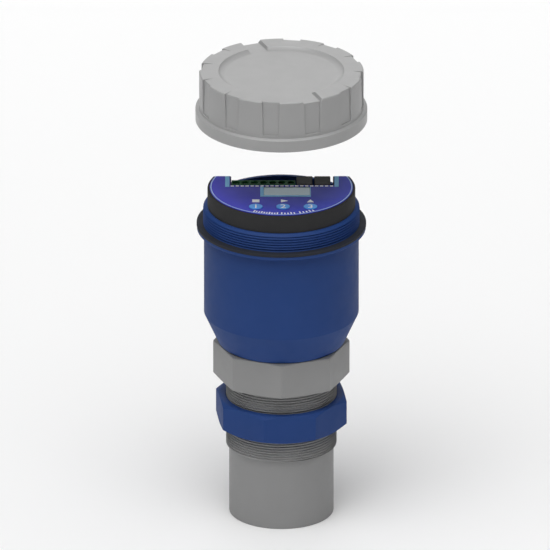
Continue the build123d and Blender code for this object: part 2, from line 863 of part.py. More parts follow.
finish(gland_nut, "gland_nut")
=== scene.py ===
"""Looks of an ultrasonic water level sensor, built round its packed CAD model.

Everything is built in metres, in the frame of the CAD model: the axis is Z, the sensor stands on the
lower end of its tube, the display and the keys face -Y and the cable gland points to +Y. The new pieces
add what the solids leave out, such as screw threads, soft edges and print, and every piece gets its
finish.
"""

import json

import bmesh
import bpy
import numpy as np
from bpy.props import FloatProperty, FloatVectorProperty, IntProperty, PointerProperty
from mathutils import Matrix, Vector


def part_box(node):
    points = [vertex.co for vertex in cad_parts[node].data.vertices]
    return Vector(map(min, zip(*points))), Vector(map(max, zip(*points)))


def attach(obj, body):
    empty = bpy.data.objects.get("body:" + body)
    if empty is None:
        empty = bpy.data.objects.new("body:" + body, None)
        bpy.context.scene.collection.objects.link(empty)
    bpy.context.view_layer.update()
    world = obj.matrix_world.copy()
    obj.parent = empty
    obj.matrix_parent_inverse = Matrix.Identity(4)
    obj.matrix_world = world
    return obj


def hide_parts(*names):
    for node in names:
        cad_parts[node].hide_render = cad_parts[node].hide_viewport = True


bl_info = {
    "name": "Water level sensor",
    "version": (1, 0, 0),
    "blender": (4, 5, 0),
    "location": "3D View > Sidebar > Level sensor",
    "description": "Threads, soft edges, print, finishes and stage of a water level sensor",
    "category": "Object",
}

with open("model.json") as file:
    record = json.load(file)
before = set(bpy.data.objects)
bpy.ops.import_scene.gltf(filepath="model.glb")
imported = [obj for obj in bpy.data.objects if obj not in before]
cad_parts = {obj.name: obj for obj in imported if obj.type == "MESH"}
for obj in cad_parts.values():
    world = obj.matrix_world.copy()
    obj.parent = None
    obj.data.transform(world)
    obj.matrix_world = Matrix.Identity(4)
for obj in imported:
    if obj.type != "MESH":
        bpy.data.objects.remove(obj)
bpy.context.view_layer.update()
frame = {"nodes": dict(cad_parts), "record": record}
record = frame["record"]
slot_of_node = {part["node"]: part["material_slot"] for part in record["subparts"]}
mount_of = {mount["name"]: mount for mount in record["mounts"]}

# Boxes of the CAD nodes that the new pieces follow
FITTING_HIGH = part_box("process_fitting")[1]
NUT_LOW, NUT_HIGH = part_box("lock_nut")
CAP_LOW, CAP_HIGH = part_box("cap")
HOUSING_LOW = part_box("housing")[0]
FILM_LOW, FILM_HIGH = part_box("panel_overlay")
GLASS_LOW, GLASS_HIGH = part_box("lcd_glass")
KEY_NODES = ("key_1", "key_2", "key_3")

# Sizes that the record gives for the tube and its thread
TUBE = mount_of["sensor_tube"]["dims"]
THREAD = mount_of["mounting_thread"]["dims"]

# Bearing of each lamp from the front, towards the left, and its height, in degrees
LAMP_PLACES = {
    "front_lamp": (0, 65),
    "top_lamp": (0, 88),
    "left_lamp": (50, 68),
    "low_left_lamp": (43, 50),
    "right_lamp": (-60, 70),
    "back_lamp": (180, 20),
}

MM = 0.001
TURN = 2 * np.pi
SIDES = 8
HALF_SIDE = np.pi / SIDES

# Points closer than the first are merged, and edges shorter than the second are dropped
SAME_POINT = 2e-7
NO_EDGE = 1e-8

# Corners of a thread's profile, as shares of the pitch above the crest's lower edge, and their cuts, as
# shares of the depth: a narrow crest, a flank, the root, and a longer flank to the next crest
THREAD_CORNERS = (0, 0.06, 0.3, 0.52)
THREAD_CUTS = (0, 0, 1, 1)

# Shares of the thread's depth: the chamfer at the lower end of the fitting's thread, the chamfers of the
# nut's bore, and the height of the slope from the fitting's thread to the plain neck above it
FITTING_LEAD = 0.15
NUT_LEAD = 0.4
NECK_SLOPE = 0.3

# Ticks round the panel's front: the bearings of a group's first and last tick from the front towards the
# right, in degrees, and how many ticks it has
TICK_GROUPS = ((-24.0, -3.4, 10), (0.3, 11.2, 5), (16.2, 28.2, 5))


def length(name, description, millimetres):
    """A length, written in millimetres and kept in metres."""
    metres = millimetres * MM
    return FloatProperty(name=name, description=description, default=metres, unit="LENGTH", precision=5)


def angle(name, description, degrees):
    """An angle, written in degrees and kept in radians."""
    return FloatProperty(name=name, description=description, default=np.radians(degrees), unit="ROTATION")


def plain_number(name, description, default):
    """A number without a unit."""
    return FloatProperty(name=name, description=description, default=default)


def colour(name, description, red, green, blue):
    """A colour, written as it looks on a screen, from 0 to 255, and kept as linear light."""
    value = np.array((red, green, blue)) / 255
    linear = np.where(value <= 0.04045, value / 12.92, ((value + 0.055) / 1.055) ** 2.4)
    return FloatVectorProperty(
        name=name, description=description, default=tuple(linear), subtype="COLOR", min=0, max=1
    )


class FittingSizes(bpy.types.PropertyGroup):
    """Sizes of the grey screw-in fitting and of the lock nut on its thread."""

    tube_radius: length("Tube radius", "Outside of the sensor tube", TUBE["r_mm"])
    tube_length: length("Tube length", "Tube below the thread", TUBE["length_mm"])
    bore_radius: length("Bore radius", "Bore through tube and spigot", 25.3)
    thread_radius: length("Thread radius", "Over the thread's crests", THREAD["r_mm"])
    thread_length: length("Thread length", "From the tube to the octagon", THREAD["length_mm"])
    pitch: length("Thread pitch", "From crest to crest", 1.5)
    depth: length("Thread depth", "From crest to root", 0.65)
    thread_relief: length("Thread relief", "Plain neck between thread and octagon", 1.8)
    thread_start: length("Thread start", "Height of the first crest on the right", 39.83)
    octagon_flat: length("Octagon flat", "From the axis to a side of the octagon", 34.25)
    octagon_corner: length("Octagon corner", "Radius of the octagon's corners", 1.2)
    octagon_top: length("Octagon top", "Height of the octagon's upper face", HOUSING_LOW.z / MM)
    octagon_bevel: angle("Octagon bevel", "Slope of the turned bevels on the octagon", 9)
    octagon_land: length("Octagon land", "From the octagon's sides in to its bevels", 0.9)
    spigot_radius: length("Spigot radius", "Spigot inside the housing", 30.6)
    soft_edge: length("Soft edge", "Radius of the moulded edges", 0.45)
    nut_flat: length("Nut flat", "From the axis to a side of the lock nut", 33.9)
    nut_corner: length("Nut corner", "Radius of the lock nut's corners", 0.9)
    nut_bore: length("Nut bore", "Inside of the lock nut's thread", 30.06)
    nut_bevel: angle("Nut bevel", "Slope of the turned bevels on the lock nut", 28)
    nut_turn: angle("Nut turn", "Turn of the lock nut about the axis", -14.6)
    columns: IntProperty(name="Columns", description="Points round the axis", default=144, min=24)


class CapSizes(bpy.types.PropertyGroup):
    """Sizes of the screw cap, with heights counted from its lower edge."""

    thread_bore: length("Thread bore", "Inside of the cap's thread", 42.8)
    thread_depth: length("Thread depth", "Depth of the grooves in the bore", 0.35)
    thread_pitch: length("Thread pitch", "From groove to groove", 1.5)
    thread_length: length("Thread length", "Height of the threaded bore", 10.4)
    inner_radius: length("Inner radius", "Inside above the thread", 41.3)
    ceiling: length("Ceiling", "Height of the ceiling inside", 23.2)
    flange_height: length("Flange height", "Height of the flange's upright side", 6.7)
    flange_bevel: length("Flange bevel", "Height of the slope above the flange", 0.6)
    side_radius: length("Side radius", "Radius of the grip's crests", 44.6)
    groove_foot: length("Groove foot", "Height at which the grooves start", 8.9)
    groove_half: length("Groove half width", "Half the grooves' width at the top", 4.75)
    groove_reach: length("Groove reach", "From the axis to the grooves' bottom at the top", 43.2)
    groove_taper: angle("Groove taper", "Slope of the grooves' walls and bottoms", 2)
    groove_turn: angle("Groove turn", "Direction of the slotted groove", -67.5)
    rim_radius: length("Rim radius", "Inner edge of the raised rim", 34.0)
    rim_slope: length("Rim slope", "Width of the slope inside the rim", 2.6)
    recess: length("Recess", "Depth of the recessed top", 1.6)
    slot_slope: length("Slot slope", "Width of the slopes beside the two slots", 0.9)
    edge_chamfer: length("Edge chamfer", "Chamfer round the crests' upper edge", 0.5)
    dip_start: length("Dip start", "From the axis to where the rim dips in each groove", 38.0)
    dip_slope: plain_number("Dip slope", "Fall of the rim in each groove", 0.068)
    soft_edge: length("Soft edge", "Width of the small edge chamfers", 0.25)
    grooves: IntProperty(name="Grooves", description="Number of grip grooves", default=12, min=4)


class PanelSizes(bpy.types.PropertyGroup):
    """Sizes of the print on the display module."""

    ink: length("Ink", "Height of the print above the film", 0.03)
    outline_radius: length("Outline radius", "Outside of the pale outline", 38.5)
    outline_shift: length("Outline shift", "Outline's middle behind the axis", 0.4)
    outline_width: length("Outline width", "Width of the pale outline", 0.6)
    bar_left: length("Left bar", "Left edge of the bar left of the bay", -30.5)
    bar_right: length("Right bar", "Right edge of the bar right of the bay", 31.1)
    bar_width: length("Bar width", "Pale bars beside the bay", 2.3)
    bar_front: length("Bar front", "Front end of the pale bars", 0.4)
    dash_pitch: length("Dash pitch", "From dash to dash along the bay", 2.69)
    dash_width: length("Dash width", "Width of a dash", 1.75)
    dash_front: length("Dash front", "Front end of the dashes", 0.9)
    dash_height: length("Dash height", "Height of a dash", 1.25)
    border_left: length("Left border", "Pale border left of the display", 1.95)
    border_right: length("Right border", "Pale border right of the display", 0.4)
    border_front: length("Front border", "Pale border in front of the display", 1.9)
    sign_line: length("Sign line", "Middle of the signs above the keys", -18.9)
    sign_size: length("Sign size", "Width of a sign", 3.9)
    play_shift: length("Play shift", "Middle sign's shift to the right of its key", 0.8)
    scale_radius: length("Scale radius", "Middle of the tick marks in front of the keys", 36.0)
    tick_width: length("Tick width", "Width of a tick mark", 0.75)
    tick_height: length("Tick height", "Length of a tick mark", 2.4)
    figure_height: length("Figure height", "Height of the figures on the keys", 4.6)


class Colours(bpy.types.PropertyGroup):
    """Colours of the finishes."""

    blue_plastic: colour("Blue plastic", "Housing and lock nut", 38, 68, 128)
    grey_plastic: colour("Grey plastic", "Screw-in fitting", 150, 150, 150)
    cap_plastic: colour("Cap plastic", "Screw cap", 166, 166, 166)
    black_rubber: colour("Black rubber", "Sealing rings", 38, 41, 50)
    black_plastic: colour("Black plastic", "Display module", 55, 55, 56)
    relay_plastic: colour("Relay plastic", "Relay boxes", 56, 56, 56)
    # Painted light: the film's left colour is lighter than its right one, a painted falloff from the lit
    # left side to the shaded right, and both are made brighter to make up for the shade that the cap casts
    # on the film
    film_left: colour("Film, left", "Printed film on its left side", 69, 68, 205)
    film_right: colour("Film, right", "Printed film on its right side", 56, 68, 192)
    pale_print: colour("Pale print", "Bars and border", 128, 206, 255)
    outline_print: colour("Outline print", "Thin outline of the panel", 160, 190, 232)
    white_print: colour("White print", "Signs, dashes and figures", 248, 249, 250)
    display_glass: colour("Display glass", "Liquid crystal cell", 146, 188, 204)
    key_plastic: colour("Key plastic", "Push keys", 72, 164, 252)
    circuit_board: colour("Circuit board", "Solder resist", 16, 74, 36)
    copper: colour("Copper", "Tracks under the resist", 40, 112, 56)
    terminal_plastic: colour("Terminal plastic", "Terminal block", 46, 104, 66)
    plated_steel: colour("Plated steel", "Screws", 176, 176, 178)
    spacer_brass: colour("Spacer brass", "Spacers", 205, 165, 95)
    ferrite: colour("Ferrite", "Transformer core", 44, 44, 47)
    capacitor_sleeve: colour("Capacitor sleeve", "Sleeve of the capacitors", 28, 34, 52)
    sensing_epoxy: colour("Sensing face", "Filled resin of the sensing face", 112, 113, 115)
    cast_resin: colour("Cast resin", "Plug that closes the transducer", 34, 34, 34)
    foam: colour("Foam", "Backing behind the disc", 100, 97, 92)
    piezo_ceramic: colour("Ceramic", "Transducer disc", 218, 209, 190)
    lead_sheath: colour("Lead sheath", "Transducer lead", 54, 54, 54)
    plug_plastic: colour("Plug plastic", "Plug of the transducer lead", 222, 218, 206)
    gland_plastic: colour("Gland plastic", "Cable gland", 38, 39, 41)


class StageSizes(bpy.types.PropertyGroup):
    """Camera, light and floor."""

    elevation: angle("Elevation", "Camera above the horizon", 23.27)
    frame_width: length("Frame width", "Width of the picture at the sensor", 298.26)
    aim_height: length("Aim height", "Height of the picture's middle on the axis", 137.9)
    aim_side: length("Aim side", "Picture's middle beside the axis", -3.45)
    front_lamp: plain_number("Front lamp", "Strength of the lamp in front", 1.10)
    top_lamp: plain_number("Top lamp", "Strength of the lamp overhead", 0.84)
    left_lamp: plain_number("Left lamp", "Strength of the left lamp", 0.62)
    low_left_lamp: plain_number("Low lamp", "Strength of the low left lamp", 0.33)
    right_lamp: plain_number("Right lamp", "Strength of the right lamp", 0.27)
    back_lamp: plain_number("Back lamp", "Strength of the low lamp behind", 0.60)
    softness: angle("Softness", "Width of each lamp seen from the sensor", 50)
    # The floor's colour grows lighter from near to far, a painted falloff of light rather than a change in
    # the floor itself
    floor_near: plain_number("Near floor", "Lightness of the near floor", 0.925)
    floor_far: plain_number("Far floor", "Lightness of the far floor", 1.0)
    fade_start: length("Fade start", "Distance behind the sensor at which the floor grows lighter", 100)
    fade_end: length("Fade end", "Distance behind the sensor at which the floor is lightest", 740)


def wrapped_faces(rows, columns, close_rows=False, close_columns=True):
    """Quads of a grid: each point is joined to the next along its row and its column, and, where a way
    is closed, the last to the first."""
    row = np.arange(rows if close_rows else rows - 1)
    column = np.arange(columns if close_columns else columns - 1)
    i, j = (part.ravel() for part in np.meshgrid(row, column, indexing="ij"))
    up = (i + 1) % rows
    on = (j + 1) % columns
    return np.stack((i * columns + j, i * columns + on, up * columns + on, up * columns + j), axis=-1)


def rounded(corners, radii, steps=3, most=0.45):
    """Profile whose inner corners are rounded. With a and b the directions to the two neighbours, each
    corner P becomes the curve P + t (1-s)(1-s) a + t s s b for s from 0 to 1, where t is the radius
    over the tangent of half the corner's angle, and at most the given share of the shorter side."""
    middle = corners[1:-1]
    before = corners[:-2] - middle
    after = corners[2:] - middle
    run_before = np.linalg.norm(before, axis=-1, keepdims=True)
    run_after = np.linalg.norm(after, axis=-1, keepdims=True)
    before = before / run_before
    after = after / run_after
    half = np.arccos(np.clip((before * after).sum(-1, keepdims=True), -1, 1)) / 2
    radius = np.asarray(radii, float)[:, None, None]
    reach = np.minimum(radius / np.tan(half), most * np.minimum(run_before, run_after))
    s = np.linspace(0, 1, steps + 1)[None, :, None, None]
    bend = (1 - s) ** 2 * (reach * before)[:, None] + s**2 * (reach * after)[:, None]
    curves = middle[:, None] + bend
    return np.concatenate((corners[:1], curves.reshape(-1, *corners.shape[1:]), corners[-1:]))


def soft_profile(columns, edge, *corners):
    """Profile, as an array of rows, columns and the two coordinates, from corners that each have a radius,
    a height and a rounding as a share of the soft edge. Radius and height are the same for all columns or
    one value a column."""
    blank = np.zeros(columns)
    rows = np.stack([np.stack((blank + radius, blank + height), axis=-1) for radius, height, _ in corners])
    shares = np.array([share for _, _, share in corners[1:-1]])
    return rounded(rows, edge * shares)


def turned(profile, angles):
    """Surface of revolution: a column at angle A holds the points (r cos A, r sin A, z)."""
    radius, height = profile[..., 0], profile[..., 1]
    return np.stack((radius * np.cos(angles), radius * np.sin(angles), height), axis=-1)


def corner_circle(flat, corner):
    """Circle that rounds an octagon's corner: its middle's distance from the axis, which is the flat less
    the circle's radius over cos(22.5 degrees), and the angle from the corner to where it meets a side."""
    centre = (flat - corner) / np.cos(HALF_SIDE)
    reach = np.arctan2(corner * np.sin(HALF_SIDE), centre + corner * np.cos(HALF_SIDE))
    return centre, reach


def octagon_columns(even, flat, corner, turn=0.0):
    """Angles round an octagon: evenly spaced ones, and seven more across each rounded corner, the outer
    two just past its ends. Angles that agree to seven places count once."""
    reach = corner_circle(flat, corner)[1]
    across = reach * np.array((-1.3, -1.0, -0.5, 0.0, 0.5, 1.0, 1.3))
    corners = np.arange(SIDES) * TURN / SIDES + turn
    angles = np.concatenate((np.arange(even) * TURN / even, (corners[:, None] + across).ravel()))
    return np.unique(np.round(angles % TURN, 7))


def octagon_radius(angles, flat, corner, turn=0.0):
    """Radius of an octagon with rounded corners in a direction A from its nearest corner: the flat over
    cos(22.5 degrees - A) on a side, and on a corner the far point of a circle of the corner's radius
    that touches both sides."""
    off = np.abs((angles - turn + HALF_SIDE) % (2 * HALF_SIDE) - HALF_SIDE)
    centre, reach = corner_circle(flat, corner)
    side = flat / np.cos(HALF_SIDE - off)
    under = np.clip(corner**2 - (centre * np.sin(off)) ** 2, 0, None)
    return np.where(off < reach, centre * np.cos(off) + np.sqrt(under), side)


def thread_depth(heights, angles, pitch, depth, steepness=1.4, land=0.2):
    """Depth of a right-handed thread below its crest at a height and an angle: a triangle wave of the
    height in pitches less the angle in turns, made steeper and flattened at crest and root."""
    phase = heights / pitch - angles / TURN
    wave = 1 - np.abs(2 * (phase - np.floor(phase)) - 1)
    return depth * np.clip(steepness * wave - land, 0, 1)


def fade(heights, low, high, run):
    """Smooth step from 0 at both ends to 1 between them, over the length of the run."""
    share = np.clip(np.minimum(heights - low, high - heights) / run, 0, 1)
    return share * share * (3 - 2 * share)


def helical_patch(low, high, start, angles, radius, pitch, depth, fading=0.15):
    """Right-handed thread from the height low to high. Each row follows one corner of the thread's
    profile, so that its height is the start plus the corner's height plus the pitch times the angle in
    turns, kept between low and high. The radius is the crest's less the corner's depth, which fades at
    both ends over a share of the pitch. The column after a full turn meets the first one a pitch higher.
    A negative depth cuts outwards."""
    count = int((high - low) / pitch) + 3
    corners = np.tile(THREAD_CORNERS, count)
    turns = np.repeat(np.arange(count) - 2, len(THREAD_CORNERS))
    cuts = np.tile(THREAD_CUTS, count) * depth
    around = np.append(angles, angles[0] + TURN)
    heights = start + pitch * ((corners + turns)[:, None] + around / TURN)
    heights = np.clip(heights, low, high)
    cuts = cuts[:, None] * fade(heights, low, high, fading * pitch)
    profile = np.stack((radius - cuts, heights), axis=-1)
    return turned(profile, around), wrapped_faces(len(profile), len(around), close_columns=False)


def add_object(name, data):
    """A new object in the scene."""
    piece = bpy.data.objects.new(name, data)
    bpy.context.scene.collection.objects.link(piece)
    return piece


def build_piece(name, patches, body, replaced=(), crease=38):
    """One piece from patches, each an array of points and its quads: doubles are merged, faces turned
    outwards and edges sharper than the crease kept crisp. It rides on a body of the frame."""
    points = np.concatenate([part.reshape(-1, 3) for part, _ in patches])
    starts = np.cumsum([0] + [part.size // 3 for part, _ in patches[:-1]])
    faces = np.concatenate([quads + start for (_, quads), start in zip(patches, starts)])
    mesh = bpy.data.meshes.new(name)
    mesh.from_pydata(points.tolist(), [], faces.tolist())
    shape = bmesh.new()
    shape.from_mesh(mesh)
    bmesh.ops.remove_doubles(shape, verts=shape.verts, dist=SAME_POINT)
    bmesh.ops.dissolve_degenerate(shape, edges=shape.edges, dist=NO_EDGE)
    bmesh.ops.recalc_face_normals(shape, faces=shape.faces)
    shape.to_mesh(mesh)
    shape.free()
    mesh.shade_smooth()
    mesh.set_sharp_from_angle(angle=np.radians(crease))
    piece = add_object(name, mesh)
    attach(piece, body)
    if replaced:
        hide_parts(*replaced)
    return piece


def ribbon(inner, outer, low, high):
    """Thin closed strip between two lines of points in the plane, from the height low to high: four
    long sides and an end face at each end."""
    count = len(inner)
    below = np.full((count, 1), low)
    above = np.full((count, 1), high)
    edges = ((inner, below), (inner, above), (outer, above), (outer, below))
    rows = np.stack([np.hstack(edge) for edge in edges])
    sides = wrapped_faces(len(rows), count, close_rows=True, close_columns=False)
    first = np.arange(len(rows)) * count
    ends = np.stack((first, first[::-1] + count - 1))
    return rows, np.concatenate((sides, ends))


def box_mark(left, right, front, back, low, high):
    """Flat rectangle of print."""
    inner = np.array(((left, front), (right, front)))
    outer = np.array(((left, back), (right, back)))
    return ribbon(inner, outer, low, high)


def arrow_mark(centre, half, turn, low, high):
    """Flat triangle of print that points to +X, turned about its centre: a strip whose second line
    shrinks to the tip."""
    along = half * np.array((np.cos(turn), np.sin(turn)))
    across = np.array((-along[1], along[0]))
    base = centre - along
    tip = centre + along
    return ribbon(np.stack((base - across, base + across)), np.stack((tip, tip)), low, high)


def tick_mark(bearing, inner, outer, width, low, high):
    """Flat bar of print along a ray of the panel, at a bearing from the front towards the right, from an
    inner to an outer distance from the axis."""
    ray = np.array((np.sin(bearing), -np.cos(bearing)))
    side = np.array((-ray[1], ray[0])) * width / 2
    first = np.stack((inner * ray - side, inner * ray + side))
    second = np.stack((outer * ray - side, outer * ray + side))
    return ribbon(first, second, low, high)


def fitting_patches(sizes):
    """Grey fitting as a turned profile from the thread's upper end over octagon, spigot, bore and tube to
    the thread's lower end, and the helical thread between them. Only the octagon depends on the angle."""
    angles = octagon_columns(sizes.columns, sizes.octagon_flat, sizes.octagon_corner)
    base = sizes.tube_length + sizes.thread_length
    top = sizes.octagon_top
    inset = sizes.octagon_flat - sizes.octagon_land
    outer = octagon_radius(angles, sizes.octagon_flat, sizes.octagon_corner)
    drop = (outer - inset) * np.tan(sizes.octagon_bevel)
    crest = sizes.thread_radius
    root = crest - sizes.depth
    lead = FITTING_LEAD * sizes.depth
    # The thread starts just above its chamfer
    thread_low = sizes.tube_length + 1.1 * lead
    thread_high = base - sizes.thread_relief
    profile = soft_profile(
        len(angles),
        sizes.soft_edge,
        (crest, thread_high, 0),
        (root, thread_high + NECK_SLOPE * sizes.depth, 0.2),
        (root, base, 0.5),
        (inset, base, 1),
        (outer, base + drop, 1),
        (outer, top - drop, 2),
        (inset, top, 2),
        (sizes.spigot_radius, top, 0.5),
        (sizes.spigot_radius, FITTING_HIGH.z, 1),
        (sizes.bore_radius, FITTING_HIGH.z, 1),
        (sizes.bore_radius, 0, 1),
        (sizes.tube_radius, 0, 1),
        (sizes.tube_radius, sizes.tube_length, 0.3),
        (crest - lead, sizes.tube_length, 0.1),
        (crest, sizes.tube_length + lead, 0.1),
        (crest, thread_low, 0),
    )
    thread = helical_patch(
        thread_low, thread_high, sizes.thread_start, angles, crest, sizes.pitch, sizes.depth
    )
    return [(turned(profile, angles), wrapped_faces(len(profile), len(angles))), thread]


def nut_patches(sizes):
    """Lock nut: a turned profile round its outside, and a thread cut outwards in its bore."""
    angles = octagon_columns(sizes.columns, sizes.nut_flat, sizes.nut_corner, sizes.nut_turn)
    low, high = NUT_LOW.z, NUT_HIGH.z
    inset = sizes.nut_flat - 0.4 * sizes.soft_edge
    outer = octagon_radius(angles, sizes.nut_flat, sizes.nut_corner, sizes.nut_turn)
    drop = (outer - inset) * np.tan(sizes.nut_bevel)
    bore = sizes.nut_bore
    lead = NUT_LEAD * sizes.depth
    # The thread starts and ends just past the bore's chamfers
    thread_low = low + 1.2 * lead
    thread_high = high - 1.2 * lead
    outside = soft_profile(
        len(angles),
        sizes.soft_edge,
        (bore, thread_low, 0),
        (bore, low + lead, 0.5),
        (bore + lead, low, 0.5),
        (inset, low, 1),
        (outer, low + drop, 1),
        (outer, high - drop, 1),
        (inset, high, 1),
        (bore + lead, high, 0.5),
        (bore, high - lead, 0.5),
        (bore, thread_high, 0),
    )
    thread = helical_patch(thread_low, thread_high, low, angles, bore, sizes.pitch, -sizes.depth)
    return [(turned(outside, angles), wrapped_faces(len(outside), len(angles))), thread]


def cap_patch(sizes):
    """Screw cap, from the ceiling's middle down the bore, round the flange, up the grip and over the top.

    Each of the grooves' sectors has the same columns: along the groove's flat bottom, at its two walls,
    and over the crest to the next sector. A point is (x, y) in its sector, with x along the groove. On a
    crest of radius R, x is the root of R R - y y; in a groove it is the groove's reach, which grows
    downwards by the taper as its half width shrinks. Over a groove the rim falls outwards from the dip's
    start by its slope. The two opposite slotted sectors stay as low as the recess between their walls,
    which slope outwards there. The arrays' three directions are rows, sectors and columns."""
    foot, top = CAP_LOW.z, CAP_HIGH.z
    disc = top - sizes.recess
    bore = sizes.thread_bore
    ends = foot + sizes.thread_length
    groove_foot = foot + sizes.groove_foot
    flange_top = foot + sizes.flange_height
    plain_end = 0.7 * MM
    rows_per_pitch = 8
    soft = sizes.soft_edge
    crest = sizes.side_radius
    recess_edge = sizes.rim_radius - sizes.rim_slope
    thread_rows = int((sizes.thread_length - 2 * plain_end) / sizes.thread_pitch * rows_per_pitch)

    # Radius and height of each row, and 1 on the grooved side of the grip or 2 on its upper chamfer
    rows = [
        (sizes.inner_radius, foot + sizes.ceiling, 0),
        (sizes.inner_radius, ends, 0),
        (bore, ends, 0),
    ]
    rows += [(bore, height, 0) for height in np.linspace(ends - plain_end, foot + plain_end, thread_rows)]
    rows += [
        (bore + 0.5 * plain_end, foot, 0),
        (CAP_HIGH.x - soft, foot, 0),
        (CAP_HIGH.x, foot + soft, 0),
        (CAP_HIGH.x, flange_top - 0.5 * soft, 0),
        (CAP_HIGH.x - 0.5 * soft, flange_top, 0),
        (crest + 0.5 * soft, flange_top + sizes.flange_bevel, 0),
        (crest, flange_top + sizes.flange_bevel + soft, 0),
        (crest, groove_foot, 0),
        (crest, groove_foot, 1),
        (crest, disc, 1),
        (crest, top - sizes.edge_chamfer, 1),
        (crest - sizes.edge_chamfer, top, 2),
        (sizes.dip_start, top, 0),
        (sizes.rim_radius + 0.5 * soft, top, 0),
        (sizes.rim_radius - 0.5 * soft, top - soft, 0),
        (recess_edge, disc, 0),
        (recess_edge - 2 * sizes.edge_chamfer, disc, 0),
    ]
    radius, height, grooved = (np.array(part)[:, None, None] for part in zip(*rows))

    # Columns of a sector: their side of the groove's middle, how far they are across half the groove,
    # whether they are on a crest, how far they are across half the crest, and whether they stand just
    # beside the groove's corner
    side = np.array((-1, -1, -1, -1, -1, -1, -1, 0, 1, 1, 1, 1, 1, 1, 1, 1))
    share = np.array((0, 0, 0, 0, 1, 1, 0.5, 0, 0.5, 1, 1, 0, 0, 0, 0, 0))
    on_crest = np.array((1, 1, 1, 1, 1, 0, 0, 0, 0, 0, 1, 1, 1, 1, 1, 1), bool)
    land = np.array((0.75, 0.5, 0.25, 0, 0, 0, 0, 0, 0, 0, 0, 0, 0.25, 0.5, 0.75, 1))
    edge = np.array((0, 0, 0, 1, 0, 0, 0, 0, 0, 0, 0, 1, 0, 0, 0, 0))
    on_land = (land > 0) | (edge > 0)

    middle = (sizes.groove_turn + np.arange(sizes.grooves) * TURN / sizes.grooves)[:, None]
    slotted = (np.arange(sizes.grooves) % (sizes.grooves // 2) == 0)[:, None]
    below = np.clip(top - height, 0, top - groove_foot) * np.tan(sizes.groove_taper)
    on_rim = height > disc + sizes.recess / 2
    half = sizes.groove_half - below
    half_sector = np.pi / sizes.grooves
    wall = np.arcsin((half + sizes.slot_slope * (slotted & on_rim)) / radius)
    on_way = np.where(edge > 0, wall + soft / radius, wall + land * (half_sector - wall))
    in_groove = np.arcsin(share * half / radius)
    bearing = side * np.where(on_land, on_way, np.where(on_crest & (share == 1), wall, in_groove))
    at_corner = (share == 1) & on_crest & (grooved > 0)
    length_out = radius - soft * at_corner
    across = length_out * np.sin(bearing)
    along = length_out * np.cos(bearing)
    reach = sizes.groove_reach + below
    along = np.where((grooved == 1) & ~on_crest, np.minimum(along, reach), along)
    along = np.where((grooved == 2) & ~on_crest, np.minimum(along, reach - soft), along)
    fall = np.clip(along - sizes.dip_start, 0, None) * sizes.dip_slope
    heights = height - np.where(on_rim & ~on_crest, fall, 0)
    heights = np.where(slotted & ~on_crest, np.minimum(height, disc), heights)
    x = along * np.cos(middle) - across * np.sin(middle)
    y = along * np.sin(middle) + across * np.cos(middle)
    points = np.stack(np.broadcast_arrays(x, y, heights), axis=-1)
    points = points.reshape(len(rows), -1, 3)

    in_thread = ((radius == bore) & (height < ends)).reshape(-1, 1)
    turn_angle = np.arctan2(points[..., 1], points[..., 0])
    groove = thread_depth(points[..., 2], turn_angle, sizes.thread_pitch, sizes.thread_depth)
    groove = groove * fade(points[..., 2], foot + plain_end, ends - plain_end, sizes.thread_pitch)
    growth = 1 + in_thread * groove / bore
    points[..., :2] *= growth[..., None]

    columns = points.shape[1]
    ceiling_pole = np.tile((0, 0, foot + sizes.ceiling), (1, columns, 1))
    disc_pole = np.tile((0, 0, disc), (1, columns, 1))
    points = np.concatenate((ceiling_pole, points, disc_pole))
    return points, wrapped_faces(len(points), columns)


def ink_heights(sizes):
    """Heights of the print's lower and upper face: the film's top less and plus the ink."""
    return FILM_HIGH.z - sizes.ink, FILM_HIGH.z + sizes.ink


def outline_patch(sizes):
    """Pale outline of the panel: an arc of constant width near the film's edge, from the straight cut on
    one side round the front to the cut on the other."""
    margin = 0.2 * MM
    columns = 181
    middle = np.array((0, sizes.outline_shift))
    cut = np.arcsin((FILM_HIGH.y - margin - sizes.outline_shift) / sizes.outline_radius)
    angles = np.linspace(-np.pi - cut, cut, columns)
    ray = np.stack((np.cos(angles), np.sin(angles)), axis=-1)
    inner = middle + (sizes.outline_radius - sizes.outline_width) * ray
    outer = middle + sizes.outline_radius * ray
    return ribbon(inner, outer, *ink_heights(sizes))


def pale_patches(sizes):
    """Pale bars on both sides of the bay, and the pale border left of, right of and in front of the
    display."""
    low, high = ink_heights(sizes)
    gap = 0.1 * MM
    back = FILM_HIGH.y - gap
    left, right = GLASS_LOW.x - gap, GLASS_HIGH.x + gap
    front = GLASS_LOW.y - gap
    far_left, far_right = left - sizes.border_left, right + sizes.border_right
    return [
        box_mark(sizes.bar_left, sizes.bar_left + sizes.bar_width, sizes.bar_front, back, low, high),
        box_mark(sizes.bar_right - sizes.bar_width, sizes.bar_right, sizes.bar_front, back, low, high),
        box_mark(far_left, left, front, GLASS_HIGH.y, low, high),
        box_mark(right, far_right, front, GLASS_HIGH.y, low, high),
        box_mark(far_left, far_right, front - sizes.border_front, front, low, high),
    ]


